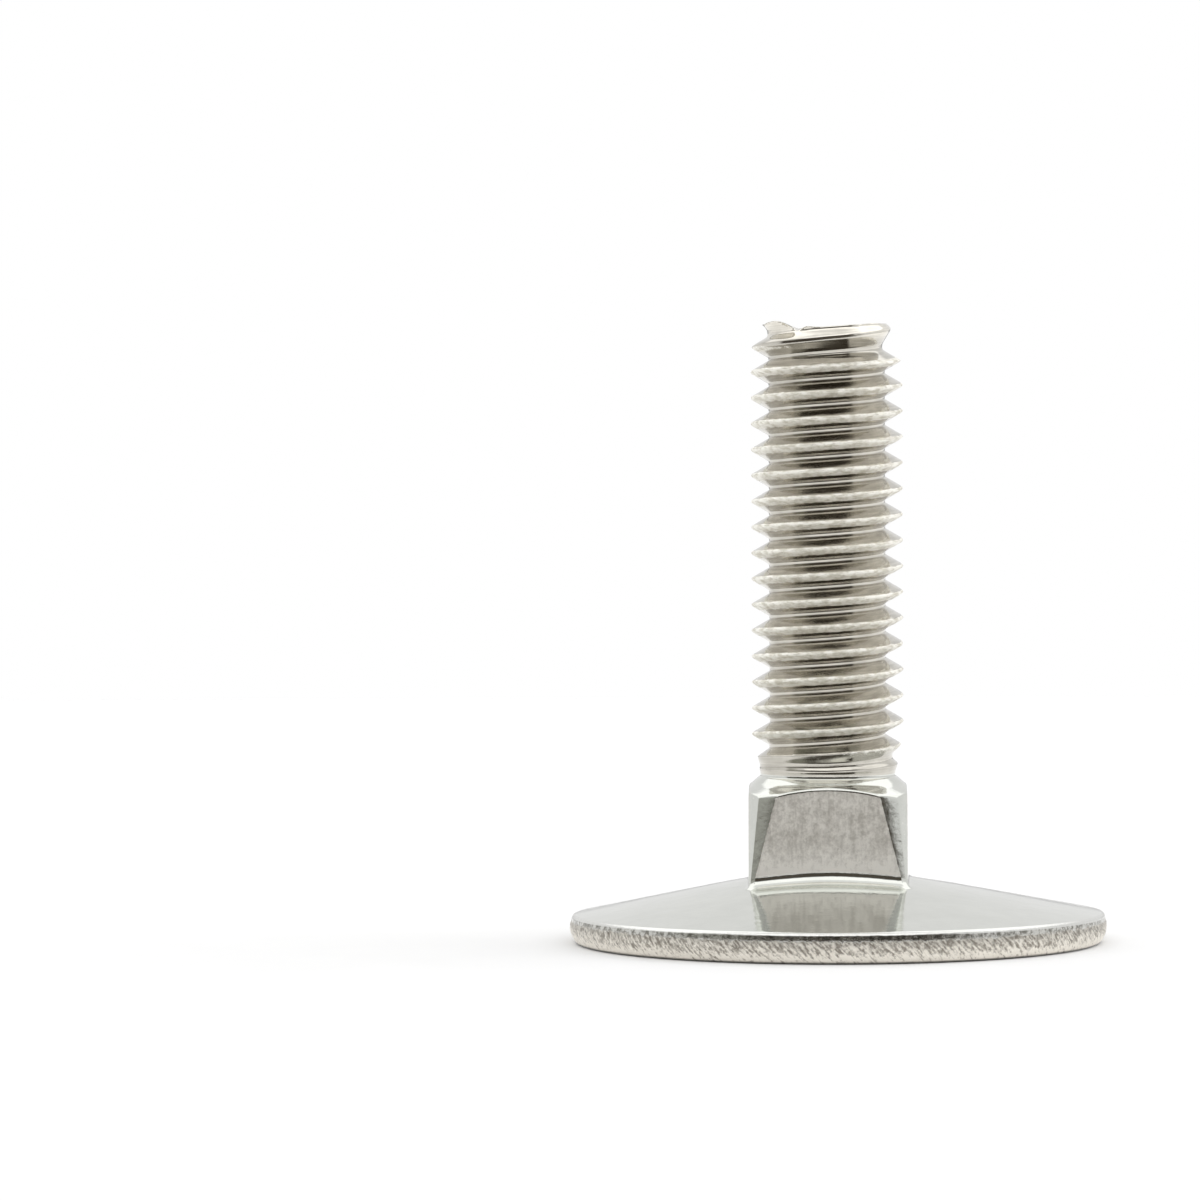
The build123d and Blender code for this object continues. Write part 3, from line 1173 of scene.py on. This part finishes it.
def cloth_colour(tree, heading, z):
    aside = maths(tree, "ABSOLUTE", heading)
    high = minus(tree, spread(tree, z, 0.478, 0.54, 0.85, 1.4),
                 spread(tree, z, 0.86, 0.97, 0, 0.42))
    behind = times(tree, spread(tree, aside, 2.6, 2.9, 0, 1), spread(tree, z, -0.02, 0.08, 1, 0))
    cards = times(tree, between(tree, aside, 0.72, 0.85, 1.2, 1.35),
                  between(tree, z, 0.5, 0.57, 0.68, 0.74))
    level = times(tree, high, times_plus(tree, behind, BEHIND_SHARE, 1.0))
    level = times(tree, level, times_plus(tree, cards, CARD_SHARE, 1.0))
    return add(tree, "ShaderNodeCombineColor", values=(level,) * 3).outputs[0]


print("cloth ready, with cards that take", -CARD_SHARE, "of the light")

# %% [markdown]
# ## Put up the tent
# Reflections and light come from the tent. The camera itself sees plain white paper behind the
# floor. One softbox from the right and the back adds a soft shadow beside the head. It is kept out
# of mirrors, because the tent already draws the highlights.


# %% Put up the tent and hang the softbox
def put_up_tent():
    world = bpy.data.worlds.new("light_tent")
    bpy.context.scene.world = world
    world.use_nodes = True
    tree = world.node_tree
    tree.nodes.clear()
    x, y, z = axes(tree, add(tree, "ShaderNodeTexCoord").outputs["Generated"])
    heading = maths(tree, "ARCTAN2", x, times(tree, y, -1.0))
    colour = blended(tree, dark_opening(tree, heading, z), cloth_colour(tree, heading, z),
                     room_colour(tree, heading, z))
    tent = add(tree, "ShaderNodeBackground", Color=colour, Strength=1.0)
    paper = add(tree, "ShaderNodeBackground", Color=(1, 1, 1, 1), Strength=1.0)
    ray = add(tree, "ShaderNodeLightPath")
    mix = add(tree, "ShaderNodeMixShader",
              values=(ray.outputs["Is Camera Ray"], tent.outputs[0], paper.outputs[0]))
    out = add(tree, "ShaderNodeOutputWorld")
    tree.links.new(mix.outputs[0], out.inputs["Surface"])


def hang_lamp(name, place, aim, width, height, watts):
    lamp = bpy.data.lights.new(name, "AREA")
    lamp.shape, lamp.size, lamp.size_y = "RECTANGLE", width, height
    lamp.energy = watts
    hung = bpy.data.objects.new(name, lamp)
    hung.visible_glossy = False
    hung.location = place
    hung.rotation_euler = (Vector(aim) - Vector(place)).to_track_quat("-Z", "Y").to_euler()
    bpy.context.scene.collection.objects.link(hung)
    return hung


put_up_tent()
softbox = hang_lamp("right_softbox", (0.5, 0.1, 0.2), (0, 0, 0.01), 0.5, 0.4, 1.0)
print("tent up, softbox of", softbox.data.energy, "watt")

# %% [markdown]
# ## The view
# The Standard view keeps colours as they are written.

# %% Finish
bpy.context.scene.view_settings.view_transform = "Standard"
